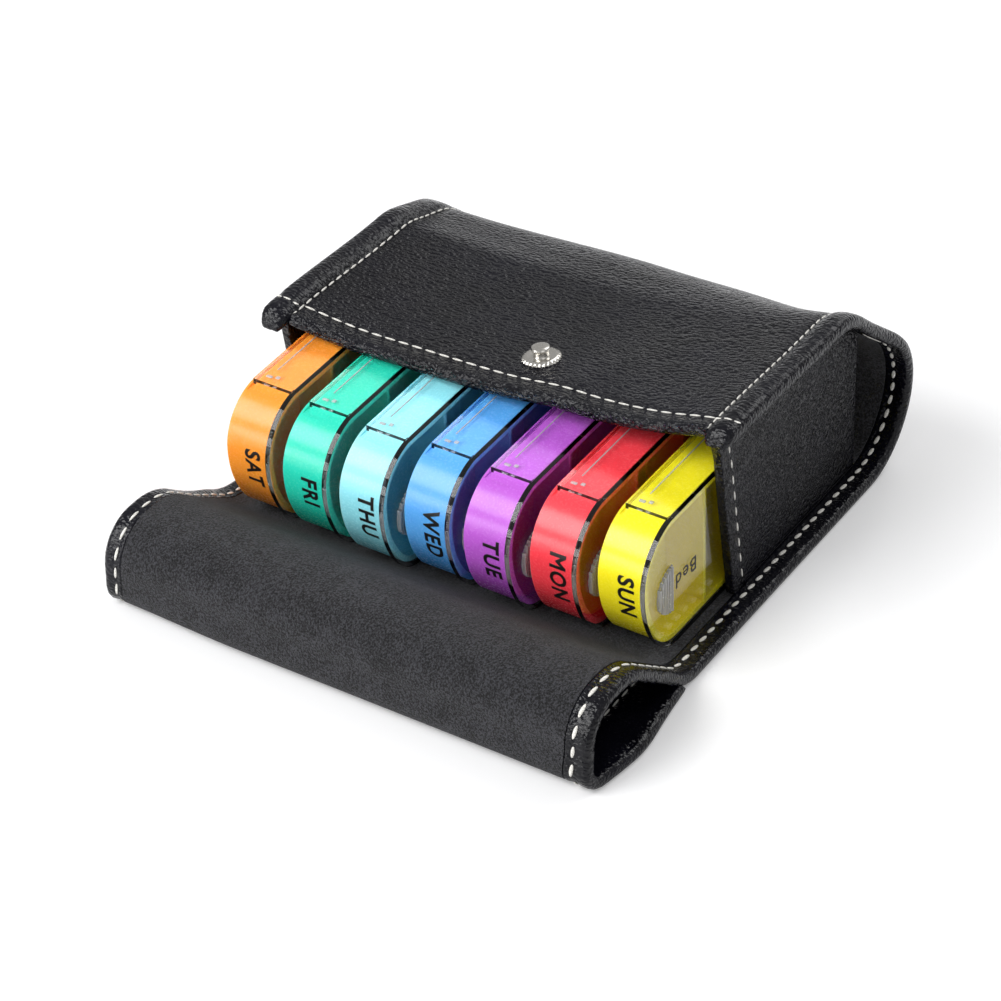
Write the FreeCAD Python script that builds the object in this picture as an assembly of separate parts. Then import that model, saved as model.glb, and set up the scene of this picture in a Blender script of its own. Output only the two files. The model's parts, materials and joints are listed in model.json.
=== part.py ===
import FreeCAD, Part
import math
import os

os.makedirs("parts", exist_ok=True)
V = FreeCAD.Vector

# Weekly pill organiser: seven drawer boxes on edge in a wrap-around leather case.
# Frame: X along the row of boxes, +Y into the case, Z up from the table, millimetres.

# ---- one pill box, in its own frame: x thickness, y length from the nose, z height
boxLength = 106.0
boxThick = 17.3
boxHeight = 39.1
noseTopRadius = 15.0        # round upper corner of both ends
noseLowRadius = 12.0        # lower corner of the nose, running up into a flatter arc
noseLowRun = 16.0           # where the lower corner starts, along y
rearLowRadius = 12.0        # lower corner of the closed rear end
trayInset = 1.1             # tray outline lies this far inside the cover's outline
trayWall = 1.6
partitionWall = 1.2
endRoomLength = 30.0        # first and last rooms, measured from the box's end
coverFace = 1.4
coverSkin = 0.95            # flange, skirt and lip thickness
coverReach = 13.1           # how far the flanges wrap over the narrow sides
lipWide = 0.8
lipDeep = 0.7
slideGap = 0.15             # running clearance of the cover on the tray
rimGap = 0.3                # tray rim to the inside of the cover's face
gripRadius = 7.1            # half-moon thumb grip
gripFromNose = 12.6
gripHeight = 18.5
gripProud = 0.35

# ---- the row of seven boxes
days = ["sat", "fri", "thu", "wed", "tue", "mon", "sun"]
rowPitch = 18.0
noseAt = {"sat": -43.1, "fri": -44.2, "thu": -45.4, "wed": -43.3, "tue": -44.2, "mon": -42.3, "sun": -40.1}
restGap = 0.5               # box bottom above the lining

# ---- leather case: outer leather and suede lining, one strip round the boxes
leather = 1.8
lining = 1.4
stripOverhang = 6.85        # bound edges beyond the box row
bindingWide = 8.0
rearRoom = 15.6             # from the rear of the last box to the back of the loop
loopDrop = 18.8             # from the boxes' tops down to where the loop is furthest back
loopRadius = 22.5
loopTurn = 50.0             # degrees of the back above loopMid, up to the sloping stretch
shoulderRadius = 22.0       # bend from the slope into the top panel
leftRoom = 2.0              # boxes to the top panel: at left edge, middle, right edge
middleRoom = 2.5
rightRoom = 12.0
mouthFront = -9.4           # front edge of the top panel
hemWide = 6.5
bottomFront = -22.4         # where the bottom panel runs on as the flap

# ---- gussets closing the two sides
gussetGap = 1.65            # box row to gusset, each side
gussetThick = 3.0
gussetHemWide = 7.0
gussetHemExtra = 0.4
gussetFrontTop = -8.6
gussetFrontFoot = 1.0
gussetRear = 61.0

# ---- flap: ramp up in front of the boxes, then rolled under itself
rampCorner = -33.9          # where the ramp's line meets the floor's lining
rampRise = 38.0             # degrees
rampRound = 12.0
humpRound = 20.0
rollHeight = 23.74
rollFront = -81.5           # furthest front of the roll
rollLowRadius = 6.0         # tighter lower front corner of the roll
tailTip = -41.0

# ---- snap fastener
snapX = 4.5
studY = 7.2
studBase = 5.2
studHead = 2.45
studSeat = 0.9
studTall = 3.6
postHole = 1.7
eyeletRadius = 4.2
eyeletThick = 0.9
socketY = -55.0
socketRadius = 5.3
socketThick = 1.3
capRadius = 6.1
capThick = 1.25
capProud = 0.3

rowHalf = 3.0 * rowPitch + boxThick / 2.0
stripHalf = rowHalf + stripOverhang
rearReach = noseAt["sun"] + boxLength + rearRoom
thick = leather + lining
panelHalf = stripHalf - bindingWide
boxBottom = thick + restGap
boxTop = boxBottom + boxHeight
topLeft, topMiddle, topRight = [boxTop + thick + room for room in (leftRoom, middleRoom, rightRoom)]
loopMid = boxTop - loopDrop
trayDepth = boxThick - coverFace - rimGap
gussetInner = rowHalf + gussetGap
beyond = 2.0 * (stripHalf + rearReach)      # longer than the whole case, for trimming cuts
stations = [-panelHalf, snapX - panelHalf / 3.0, snapX + panelHalf / 3.0, panelHalf]


def save(shape, name):
    shape.exportStep("parts/" + name + ".step")
    print(name, round(shape.Volume / 1000.0, 2), "cm3")


def line(a, b):
    return Part.LineSegment(a, b).toShape()


def quarter(x, cy, cz, toY, toZ):
    """A quarter ellipse from centre + toY along y to centre + toZ along z."""
    centre = V(x, cy, cz)
    ends = [V(x, cy + toY, cz), V(x, cy, cz + toZ)]
    if abs(abs(toY) - abs(toZ)) < 1e-6:
        part = math.sqrt(0.5)
        return Part.Arc(ends[0], V(x, cy + toY * part, cz + toZ * part), ends[1]).toShape()
    if abs(toY) < abs(toZ):
        ends.reverse()
    return Part.ArcOfEllipse(Part.Ellipse(ends[0], ends[1], centre), 0.0, math.pi / 2.0).toShape()


def arc(x, cy, cz, radius, fromDeg, toDeg):
    """A circular arc in the plane of one cross-section; degrees from +y towards +z."""
    pts = []
    for deg in (fromDeg, (fromDeg + toDeg) / 2.0, toDeg):
        a = math.radians(deg)
        pts.append(V(x, cy + radius * math.cos(a), cz + radius * math.sin(a)))
    return Part.Arc(pts[0], pts[1], pts[2]).toShape()


def prism(edges, length):
    return Part.Face(Part.Wire(edges)).extrude(V(length, 0, 0))


def slab(x0, x1, y0, y1, z0, z1):
    return Part.makeBox(x1 - x0, y1 - y0, z1 - z0, V(x0, y0, z0))


# ---------------------------------------------------------------- pill boxes

def boxOutline(x, inset):
    """Side view of a box: flat top and bottom, both ends rounded, drawn inset."""
    low, high = inset, boxHeight - inset
    mid = boxHeight - noseTopRadius
    offset, drop = noseLowRun - noseLowRadius, mid - noseLowRadius
    spread = (offset ** 2 + drop ** 2) / (2.0 * offset)
    flatter = noseLowRadius + spread
    turn = math.degrees(math.asin(drop / spread))
    top, small, large = noseTopRadius - inset, noseLowRadius - inset, flatter - inset
    rear, corner = boxLength, rearLowRadius - inset
    return [
        line(V(x, noseTopRadius, high), V(x, rear - noseTopRadius, high)),
        arc(x, rear - noseTopRadius, mid, top, 90.0, 0.0),
        line(V(x, rear - inset, mid), V(x, rear - inset, rearLowRadius)),
        arc(x, rear - rearLowRadius, rearLowRadius, corner, 0.0, -90.0),
        line(V(x, rear - rearLowRadius, low), V(x, noseLowRun, low)),
        arc(x, noseLowRun, noseLowRadius, small, 270.0, 180.0 + turn),
        arc(x, flatter, mid, large, 180.0 + turn, 180.0),
        arc(x, noseTopRadius, mid, top, 180.0, 90.0),
    ]


def outlinePrism(x0, x1, inset):
    return prism(boxOutline(x0, inset), x1 - x0)


def roomWalls():
    """Positions along y of the three partitions between the four rooms."""
    step = (boxLength - 2.0 * endRoomLength) / 2.0
    return [endRoomLength, endRoomLength + step, boxLength - endRoomLength]


def makeTray():
    body = outlinePrism(0.0, trayDepth, trayInset)
    hollow = outlinePrism(trayWall, trayDepth + 1.0, trayInset + trayWall)
    for y in roomWalls():
        half = partitionWall / 2.0
        wall = slab(0.0, trayDepth, y - half, y + half, -1.0, boxHeight + 1.0)
        hollow = hollow.cut(wall)
    body = body.cut(hollow)
    grooveX = boxThick - coverReach - slideGap
    grooveEnd = boxLength - noseTopRadius + 2.0 * slideGap
    deep = coverSkin + lipDeep + 2.0 * slideGap
    for z0, z1 in ((-1.0, deep), (boxHeight - deep, boxHeight + 1.0)):
        groove = slab(grooveX, grooveX + lipWide + 2.0 * slideGap, -1.0, grooveEnd, z0, z1)
        body = body.cut(groove)
    return body


def ring(x0, x1, outer, inner):
    return outlinePrism(x0, x1, outer).cut(outlinePrism(x0 - 1.0, x1 + 1.0, inner))


def makeCover():
    inside = boxThick - coverFace
    face = outlinePrism(inside, boxThick, 0.0)
    reach = boxThick - coverReach
    front, rear = noseTopRadius, boxLength - noseTopRadius
    flanges = ring(reach, inside, 0.0, coverSkin)
    flanges = flanges.common(slab(0, boxThick, front, rear, -1, boxHeight + 1))
    lips = ring(reach, reach + lipWide, coverSkin, coverSkin + lipDeep)
    lips = lips.common(slab(0, boxThick, front, rear, -1, boxHeight + 1))
    cover = face.fuse([flanges, lips])
    grip = Part.makeCylinder(gripRadius, coverFace + gripProud, V(inside, gripFromNose, gripHeight), V(1, 0, 0))
    grip = grip.common(slab(inside, beyond, gripFromNose - gripRadius, gripFromNose, 0, boxHeight))
    cover = cover.fuse(grip)
    return cover.removeSplitter()


# ---------------------------------------------------------------- leather case

def topHeight(x):
    """Outer height of the top panel: sags over the boxes, highest at the right edge."""
    u = x / stripHalf
    tilt = (topRight - topLeft) / 2.0
    bow = (topRight + topLeft) / 2.0 - topMiddle
    return topMiddle + tilt * u + bow * u * u


def lowerPath(x, t):
    """Bottom panel and round back, at depth t inside the outer face."""
    backY = rearReach - loopRadius
    return [
        line(V(x, bottomFront, t), V(x, backY, t)),
        quarter(x, backY, loopMid, loopRadius - t, -(loopMid - t)),
        arc(x, backY, loopMid, loopRadius - t, 0.0, loopTurn),
    ]


def slopeStart(t):
    """Where the round back runs into the straight slope, at depth t."""
    turn = math.radians(loopTurn)
    reach = loopRadius - t
    return V(0, rearReach - loopRadius + reach * math.cos(turn), loopMid + reach * math.sin(turn))


def upperPath(x, t, below=0.0):
    """Slope, shoulder and top panel, drawn from below the slope's start to well past the mouth."""
    turn = math.radians(loopTurn)
    upSlope = V(0, -math.sin(turn), math.cos(turn))
    top = topHeight(x)
    lift = top - shoulderRadius * (1.0 - math.sin(turn)) - slopeStart(0.0).z
    start = slopeStart(t) + V(x, 0, 0)
    end = start + upSlope * (lift / math.cos(turn))
    r = shoulderRadius - t
    midY = end.y - r * math.cos(turn)
    return [
        line(start - upSlope * below, end),
        arc(x, midY, top - shoulderRadius, r, loopTurn, 90.0),
        line(V(x, midY, top - t), V(x, 2.0 * mouthFront, top - t)),
    ]


def closeBand(outer, inner):
    """A closed wire from two like paths, joined by straight ends."""
    a0, b0 = outer[0].Vertexes[0].Point, inner[0].Vertexes[0].Point
    a1, b1 = outer[-1].Vertexes[-1].Point, inner[-1].Vertexes[-1].Point
    return Part.Wire(outer + [line(a1, b1)] + inner[::-1] + [line(b0, a0)])


def closeUnder(path):
    """A closed wire from one path and the straight line back to its start."""
    return Part.Wire(path + [line(path[-1].Vertexes[-1].Point, path[0].Vertexes[0].Point)])


def along(wire, x0, x1):
    """A wire drawn at x0, run straight out to x1."""
    return Part.Face(wire).extrude(V(x1 - x0, 0, 0))


def climbing(t0, t1, x0, x1):
    """Slope, shoulder and top between two marks, climbing the slope from one height to the other."""
    rise = topHeight(x1) - topHeight(x0)
    run = rise * math.tan(math.radians(loopTurn))
    below = math.hypot(rise, run)
    section = closeBand(upperPath(x0, t0, below), upperPath(x0, t1, below))
    body = Part.Face(section).extrude(V(x1 - x0, -run, rise))
    under = slab(-beyond, beyond, -loopRadius, loopRadius, -rearReach, 0)
    under.Placement = FreeCAD.Placement(slopeStart(0.0), FreeCAD.Rotation(V(1, 0, 0), loopTurn))
    return body.cut(under)


def wrapBand(marks, t0, t1, front):
    """The strip between depths t0 and t1, through the marks along x."""
    x = marks[0]
    band = along(closeBand(lowerPath(x, t0), lowerPath(x, t1)), x, marks[-1])
    band = band.fuse([climbing(t0, t1, a, b) for a, b in zip(marks, marks[1:])])
    return band.removeSplitter().cut(slab(-beyond, beyond, -beyond, front, loopMid, beyond))


def edgeSpan(side):
    """Inner and outer x of the bound edge on one side, from left to right."""
    return sorted([side * panelHalf, side * stripHalf])


def gussetFrontAt(z):
    share = (z - thick) / (topRight - 2.0 * thick)
    return gussetFrontFoot + (gussetFrontTop - gussetFrontFoot) * share


def makeGusset(side):
    """Side wall from the floor to the top panel, with a thicker folded front edge."""
    high = topRight + thick
    foot, head = gussetFrontAt(0.0), gussetFrontAt(high)

    def sheet(grow, rearFoot, rearHead):
        x0, x1 = sorted([side * (gussetInner - grow), side * (gussetInner + gussetThick + grow)])
        lowest = x0 if topHeight(x0) < topHeight(x1) else x1
        pts = [V(x0, foot, 0), V(x0, rearFoot, 0), V(x0, rearHead, high), V(x0, head, high)]
        plate = along(Part.makePolygon(pts + [pts[0]]), x0, x1)
        inside = along(closeUnder(lowerPath(lowest, thick) + upperPath(lowest, thick)), x0, x1)
        inside.translate(V(x0 - lowest, 0, 0))
        return plate.common(inside)

    wall = sheet(0.0, gussetRear, gussetRear)
    hem = sheet(gussetHemExtra, foot + gussetHemWide, head + gussetHemWide)
    return wall.fuse(hem).removeSplitter()


# ---------------------------------------------------------------- flap

rampDir = math.radians(rampRise)
rampStart = rampCorner + rampRound * math.tan(rampDir / 2.0)
humpDrop = humpRound * math.cos(rampDir)
humpZ = rollHeight - humpRound
humpY = rampCorner - (humpZ + humpDrop - thick) / math.tan(rampDir) - humpRound * math.sin(rampDir)
rollRadius = rollHeight / 2.0
rollY = rollFront + rollRadius


def rootPath(x, t):
    """Flap next to the bottom panel: floor, rounded foot and straight ramp."""
    r = rampRound + thick - t
    cz = thick + rampRound
    foot = V(x, rampStart - r * math.sin(rampDir), cz - r * math.cos(rampDir))
    h = humpRound - thick + t
    head = V(x, humpY + h * math.sin(rampDir), humpZ + h * math.cos(rampDir))
    return [
        line(V(x, bottomFront, t), V(x, rampStart, t)),
        arc(x, rampStart, cz, r, -90.0, -90.0 - rampRise),
        line(foot, head),
    ]


def rollPath(x, t, tip):
    """Hump, round front and the tail tucked back underneath."""
    h = humpRound - thick + t
    r = rollRadius - thick + t
    small = rollLowRadius - thick + t
    cornerY = rollFront + rollLowRadius
    top, low = humpZ + h, thick - t
    return [
        arc(x, humpY, humpZ, h, 90.0 - rampRise, 90.0),
        line(V(x, humpY, top), V(x, rollY, top)),
        arc(x, rollY, rollRadius, r, 90.0, 180.0),
        line(V(x, rollY - r, rollRadius), V(x, rollY - r, rollLowRadius)),
        arc(x, cornerY, rollLowRadius, small, 180.0, 270.0),
        line(V(x, cornerY, low), V(x, tip, low)),
    ]


def rootBand(x0, x1, t0, t1):
    return along(closeBand(rootPath(x0, t0), rootPath(x0, t1)), x0, x1)


def rollBand(x0, x1, t0, t1, tip):
    return along(closeBand(rollPath(x0, t0, tip), rollPath(x0, t1, tip)), x0, x1)


# ---------------------------------------------------------------- snap fastener

def turned(profile, place):
    """A turned metal piece from (radius, height) points, set upright at place."""
    pts = [V(r, 0, z) for r, z in profile]
    face = Part.Face(Part.makePolygon(pts + [pts[0]]))
    piece = face.revolve(V(0, 0, 0), V(0, 0, 1), 360)
    piece.Placement = place
    return piece


def studPlace():
    """On the top panel, square to its slope."""
    a, b = stations[1:3]
    slope = (topHeight(b) - topHeight(a)) / (b - a)
    seat = V(snapX, studY, topHeight(a) + slope * (snapX - a))
    return FreeCAD.Placement(seat, FreeCAD.Rotation(V(0, 1, 0), -math.degrees(math.atan(slope))))


def makeMouthHem():
    """Turned front edge of the top panel, following its sag."""
    wires = []
    for x in stations:
        z, y0, y1 = topHeight(x), mouthFront, mouthFront + hemWide
        pts = [V(x, y0, z - thick), V(x, y1, z - thick), V(x, y1, z), V(x, y0, z)]
        wires.append(Part.makePolygon(pts + [pts[0]]))
    return Part.makeLoft(wires, True, True)


def makeStud():
    profile = [(0, 0), (studBase, 0), (studBase - 0.8, studSeat), (studHead, studSeat), (studHead, studTall), (0, studTall)]
    return turned(profile, studPlace())


def makeEyelet():
    """Disc under the panel with its tube up through all the layers."""
    tube = postHole - 0.1
    under, seat = -thick - eyeletThick, -thick
    profile = [(0, 0), (tube, 0), (tube, seat), (eyeletRadius, seat), (eyeletRadius, under), (0, under)]
    return turned(profile, studPlace())


def makeSocket():
    """Ring flush with the lining that the stud's head snaps into."""
    bore = studHead + 0.15
    profile = [(bore, 0), (socketRadius, 0), (socketRadius, socketThick), (bore, socketThick)]
    return turned(profile, FreeCAD.Placement(V(snapX, socketY, 0), FreeCAD.Rotation()))


def makeCap():
    """Cap on the leather side, its post down into the socket."""
    top = thick + capProud
    low, post, step = top - capThick, postHole - 0.2, socketThick - 0.4
    profile = [(0, step), (post, step), (post, low), (capRadius, low), (capRadius - 1.0, top), (0, top)]
    return turned(profile, FreeCAD.Placement(V(snapX, socketY, 0), FreeCAD.Rotation()))


# ---------------------------------------------------------------- build

tray = makeTray()
cover = makeCover()
for i, day in enumerate(days):
    at = V(-rowHalf + i * rowPitch, noseAt[day], boxBottom)
    for piece, name in ((tray, "tray_"), (cover, "cover_")):
        placed = piece.copy()
        placed.translate(at)
        save(placed, name + day)

hemFrom = mouthFront + hemWide
bore = Part.makeCylinder(postHole, 4.0 * thick, V(0, 0, -2.0 * thick))
bore.Placement = studPlace()
save(wrapBand(stations, 0.0, leather, hemFrom).cut(bore), "wrap_leather")
save(wrapBand(stations, leather, thick, hemFrom).cut(bore), "wrap_lining")
save(makeMouthHem(), "mouth_hem")
save(makeStud(), "snap_stud")
save(makeEyelet(), "stud_eyelet")
tailHem = tailTip - hemWide
for side, name in ((-1, "left"), (1, "right")):
    x0, x1 = edgeSpan(side)
    save(wrapBand([x0, x1], 0.0, thick, mouthFront), "side_binding_" + name)
    save(makeGusset(side), "gusset_" + name)
    save(rootBand(x0, x1, 0.0, thick), "flap_root_binding_" + name)
    save(rollBand(x0, x1, 0.0, thick, tailTip), "flap_binding_" + name)

pocket = Part.makeCylinder(socketRadius + 0.1, lining, V(snapX, socketY, 0))
recess = Part.makeCylinder(capRadius + 0.1, thick, V(snapX, socketY, thick + capProud - capThick))
postBore = Part.makeCylinder(postHole, thick, V(snapX, socketY, 0))
flapLeather = rollBand(-panelHalf, panelHalf, 0.0, leather, tailHem)
flapLining = rollBand(-panelHalf, panelHalf, leather, thick, tailHem)
save(rootBand(-panelHalf, panelHalf, 0.0, leather), "flap_root_leather")
save(rootBand(-panelHalf, panelHalf, leather, thick), "flap_root_lining")
save(flapLeather.cut(recess).cut(postBore), "flap_leather")
save(flapLining.cut(pocket), "flap_lining")
save(slab(-panelHalf, panelHalf, tailHem, tailTip, 0.0, thick), "flap_end_hem")
save(makeSocket(), "snap_socket")
save(makeCap(), "snap_cap")
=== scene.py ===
import bpy, bmesh, math, json
from mathutils import Vector, Matrix


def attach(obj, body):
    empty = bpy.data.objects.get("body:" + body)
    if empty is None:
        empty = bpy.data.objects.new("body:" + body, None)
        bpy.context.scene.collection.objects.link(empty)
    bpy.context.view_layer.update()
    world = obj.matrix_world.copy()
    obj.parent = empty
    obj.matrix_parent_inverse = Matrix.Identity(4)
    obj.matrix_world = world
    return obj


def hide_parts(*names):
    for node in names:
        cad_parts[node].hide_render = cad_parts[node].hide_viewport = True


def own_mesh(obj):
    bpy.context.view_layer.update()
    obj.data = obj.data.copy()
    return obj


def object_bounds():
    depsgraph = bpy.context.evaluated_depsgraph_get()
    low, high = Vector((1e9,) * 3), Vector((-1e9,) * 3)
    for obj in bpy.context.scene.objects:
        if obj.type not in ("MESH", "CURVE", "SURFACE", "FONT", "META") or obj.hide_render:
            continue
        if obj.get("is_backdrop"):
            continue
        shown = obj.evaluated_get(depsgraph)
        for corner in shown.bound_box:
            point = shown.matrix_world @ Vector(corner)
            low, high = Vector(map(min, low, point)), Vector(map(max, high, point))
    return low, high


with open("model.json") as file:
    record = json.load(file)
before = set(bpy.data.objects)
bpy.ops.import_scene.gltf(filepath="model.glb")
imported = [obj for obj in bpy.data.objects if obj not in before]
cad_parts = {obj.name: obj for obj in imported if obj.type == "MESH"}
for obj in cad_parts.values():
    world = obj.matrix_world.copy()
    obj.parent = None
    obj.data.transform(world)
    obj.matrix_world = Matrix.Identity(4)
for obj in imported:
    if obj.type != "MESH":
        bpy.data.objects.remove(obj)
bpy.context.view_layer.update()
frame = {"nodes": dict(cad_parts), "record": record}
mm = 0.001
days = ["sat", "fri", "thu", "wed", "tue", "mon", "sun"]

# small helpers


def hexColour(text):  # sRGB hex to linear
    out = []
    for i in (0, 2, 4):
        c = int(text[1 + i:3 + i], 16) / 255.0
        out.append(c / 12.92 if c <= 0.04045 else ((c + 0.055) / 1.055) ** 2.4)
    return (out[0], out[1], out[2], 1.0)


def deselectAll():
    if bpy.context.object and bpy.context.object.mode != "OBJECT":
        bpy.ops.object.mode_set(mode="OBJECT")
    bpy.ops.object.select_all(action="DESELECT")


def pick(obj):
    deselectAll()
    obj.select_set(True)
    bpy.context.view_layer.objects.active = obj


def applyModifiers(obj):
    pick(obj)
    for m in list(obj.modifiers):
        bpy.ops.object.modifier_apply(modifier=m.name)


def applyPlace(obj):
    pick(obj)
    bpy.ops.object.transform_apply(location=True, rotation=True, scale=True)


def smooth(obj, degrees=35):
    pick(obj)
    bpy.ops.object.shade_smooth_by_angle(angle=math.radians(degrees))


# m, points nearer than this are one: on a CAD copy or a sheet, and on a new skin or a word
closeEdge, closeSeam = 1e-6, 1e-7


def turnOutwards(obj, merge=0.0):
    pick(obj)
    bpy.ops.object.mode_set(mode="EDIT")
    bpy.ops.mesh.select_all(action="SELECT")
    if merge:
        bpy.ops.mesh.remove_doubles(threshold=merge)
    bpy.ops.mesh.normals_make_consistent(inside=False)
    bpy.ops.object.mode_set(mode="OBJECT")


def coat(obj, mat):
    obj.data.materials.clear()
    obj.data.materials.append(mat)


def addObject(name, data):
    obj = bpy.data.objects.new(name, data)
    bpy.context.scene.collection.objects.link(obj)
    return obj


def ease(a, b, v):
    u = min(1.0, max(0.0, (v - a) / (b - a)))
    return u * u * (3.0 - 2.0 * u)


def bell(v, wide):
    return math.exp(-(v / wide) ** 2)


# materials

def addNode(tree, kind, settings=None, links=None):
    node = tree.nodes.new("ShaderNode" + kind)
    for key, value in (settings or {}).items():
        if key == "stops":    # a ramp's positions and colours
            for element, (at, colour) in zip(node.color_ramp.elements, value):
                element.position, element.color = at, hexColour(colour)
        elif hasattr(node, key):
            setattr(node, key, value)
        else:
            node.inputs[key].default_value = value
    for key, source in (links or {}).items():
        tree.links.new(source, node.inputs[key])
    return node


def newMaterial(name):
    mat = bpy.data.materials.new(name)
    mat.use_nodes = True
    tree = mat.node_tree
    tree.nodes.clear()
    out = addNode(tree, "OutputMaterial")
    place = addNode(tree, "TexCoord").outputs["Object"]
    return mat, tree, out, place


leatherLook = {
    "colour": "#06060b",
    "colourWorn": "#0d0d16",
    "specular": 0.27,
    "pebble": 0.85,       # mm across one embossed pebble
    "pebbleBlend": 0.45,  # how far neighbouring pebbles run into each other
    "alongShare": 0.6,    # pebbles and wrinkles are longer along the case than across it
    "warp": 4.0,          # mm between bends in the rows of pebbles
    "warpShare": 0.0011,
    "pore": 0.5,          # mm
    "poreDepth": 0.06,    # mm
    "crease": 9.0,        # mm between the soft wrinkles
    "creaseDepth": 0.45,  # mm
    "patch": 20.0,        # mm between handled and fresh places
    "glossSpread": (-0.06, 0.1),
}
leatherKinds = {          # roughness, depth of a pebble in mm
    "PuLeatherPebbled": (0.17, 0.62),
    "PuLeatherStretched": (0.13, 0.3),
}


def leatherMaterial(name):
    # PU leather, calender-embossed with a pebble grain: near black, semi-gloss, glints on each pebble
    look = leatherLook
    rough, pebbleDepth = leatherKinds[name]
    mat, tree, out, place = newMaterial(name)
    warp = addNode(tree, "TexNoise", {"Scale": 1.0 / (look["warp"] * mm), "Detail": 2.0}, {"Vector": place})
    bent = addNode(tree, "MixRGB", {"Fac": look["warpShare"]}, {"Color1": place, "Color2": warp.outputs["Color"]})
    drawn = addNode(tree, "Mapping", {"Scale": (look["alongShare"], 1.0, 1.0)}, {"Vector": bent.outputs["Color"]})
    cells = addNode(
        tree, "TexVoronoi",
        {"feature": "SMOOTH_F1", "Scale": 1.0 / (look["pebble"] * mm), "Smoothness": look["pebbleBlend"]},
        {"Vector": drawn.outputs["Vector"]})
    pores = addNode(
        tree, "TexNoise", {"Scale": 1.0 / (look["pore"] * mm), "Detail": 4.0, "Roughness": 0.6}, {"Vector": place})
    crease = addNode(
        tree, "TexNoise",
        {"Scale": 1.0 / (look["crease"] * mm), "Detail": 5.0, "Roughness": 0.6, "Distortion": 0.6},
        {"Vector": drawn.outputs["Vector"]})
    patch = addNode(tree, "TexNoise", {"Scale": 1.0 / (look["patch"] * mm), "Detail": 2.0}, {"Vector": place})
    tone = addNode(
        tree, "ValToRGB", {"stops": ((0.35, look["colour"]), (0.75, look["colourWorn"]))},
        {"Fac": patch.outputs["Fac"]})
    less, more = look["glossSpread"]
    gloss = addNode(
        tree, "MapRange", {"From Min": 0.25, "From Max": 0.8, "To Min": rough + less, "To Max": rough + more},
        {"Value": crease.outputs["Fac"]})
    folds = addNode(
        tree, "Bump", {"Strength": 1.0, "Distance": look["creaseDepth"] * mm}, {"Height": crease.outputs["Fac"]})
    pebbles = addNode(
        tree, "Bump", {"Strength": 1.0, "Distance": pebbleDepth * mm, "invert": True},
        {"Height": cells.outputs["Distance"], "Normal": folds.outputs["Normal"]})
    skinBump = addNode(
        tree, "Bump", {"Strength": 0.7, "Distance": look["poreDepth"] * mm},
        {"Height": pores.outputs["Fac"], "Normal": pebbles.outputs["Normal"]})
    skin = addNode(
        tree, "BsdfPrincipled", {"IOR": 1.5, "Specular IOR Level": look["specular"]},
        {"Base Color": tone.outputs["Color"], "Roughness": gloss.outputs["Result"],
         "Normal": skinBump.outputs["Normal"]})
    tree.links.new(skin.outputs["BSDF"], out.inputs["Surface"])
    return mat


suedeLook = {
    "colour": "#08080a",
    "colourNap": "#3c3c41",
    "nap": 0.5,           # mm across a tuft
    "brush": 6.0,         # mm between strokes in the nap
    "brushShare": 0.15,
    "depth": 0.8,         # mm, deeper than the real nap so that it shows
    "sheen": 0.1,
}


def suedeMaterial():
    # microfibre suede: matt charcoal, its nap brushed into small flecks
    look = suedeLook
    mat, tree, out, place = newMaterial("MicrofibreSuede")
    nap = addNode(
        tree, "TexNoise", {"Scale": 1.0 / (look["nap"] * mm), "Detail": 3.0, "Roughness": 0.6}, {"Vector": place})
    brushed = addNode(tree, "TexNoise", {"Scale": 1.0 / (look["brush"] * mm), "Detail": 3.0}, {"Vector": place})
    fleck = addNode(
        tree, "MixRGB", {"Fac": look["brushShare"]}, {"Color1": nap.outputs["Fac"], "Color2": brushed.outputs["Fac"]})
    tone = addNode(
        tree, "ValToRGB", {"stops": ((0.43, look["colour"]), (0.6, look["colourNap"]))},
        {"Fac": fleck.outputs["Color"]})
    bump = addNode(tree, "Bump", {"Strength": 1.0, "Distance": look["depth"] * mm}, {"Height": nap.outputs["Fac"]})
    cloth = addNode(
        tree, "BsdfPrincipled",
        {"Roughness": 0.95, "Specular IOR Level": 0.2, "Sheen Weight": look["sheen"], "Sheen Roughness": 0.6},
        {"Base Color": tone.outputs["Color"], "Normal": bump.outputs["Normal"]})
    tree.links.new(cloth.outputs["BSDF"], out.inputs["Surface"])
    return mat


plasticLook = {
    "sat": ("PolypropyleneOrange", "#ff9a34"),
    "fri": ("PolypropyleneTeal", "#2bd6b8"),
    "thu": ("PolypropyleneLightCyan", "#98e8f5"),
    "wed": ("PolypropyleneBlue", "#5caaf0"),
    "tue": ("PolypropylenePurple", "#bf60d4"),
    "mon": ("PolypropyleneRed", "#ff4450"),
    "sun": ("PolypropyleneYellow", "#ffec24"),
}
mouldLook = {
    "flow": 14.0,         # mm between flow waves
    "flowDepth": 0.25,    # mm
    "grit": 0.7,          # mm of the mould's polish marks
    "shade": (0.96, 1.03),
    "roughness": (0.22, 0.3),
    "glowDepth": 2.5,     # mm that light spreads inside the wall
}


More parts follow.
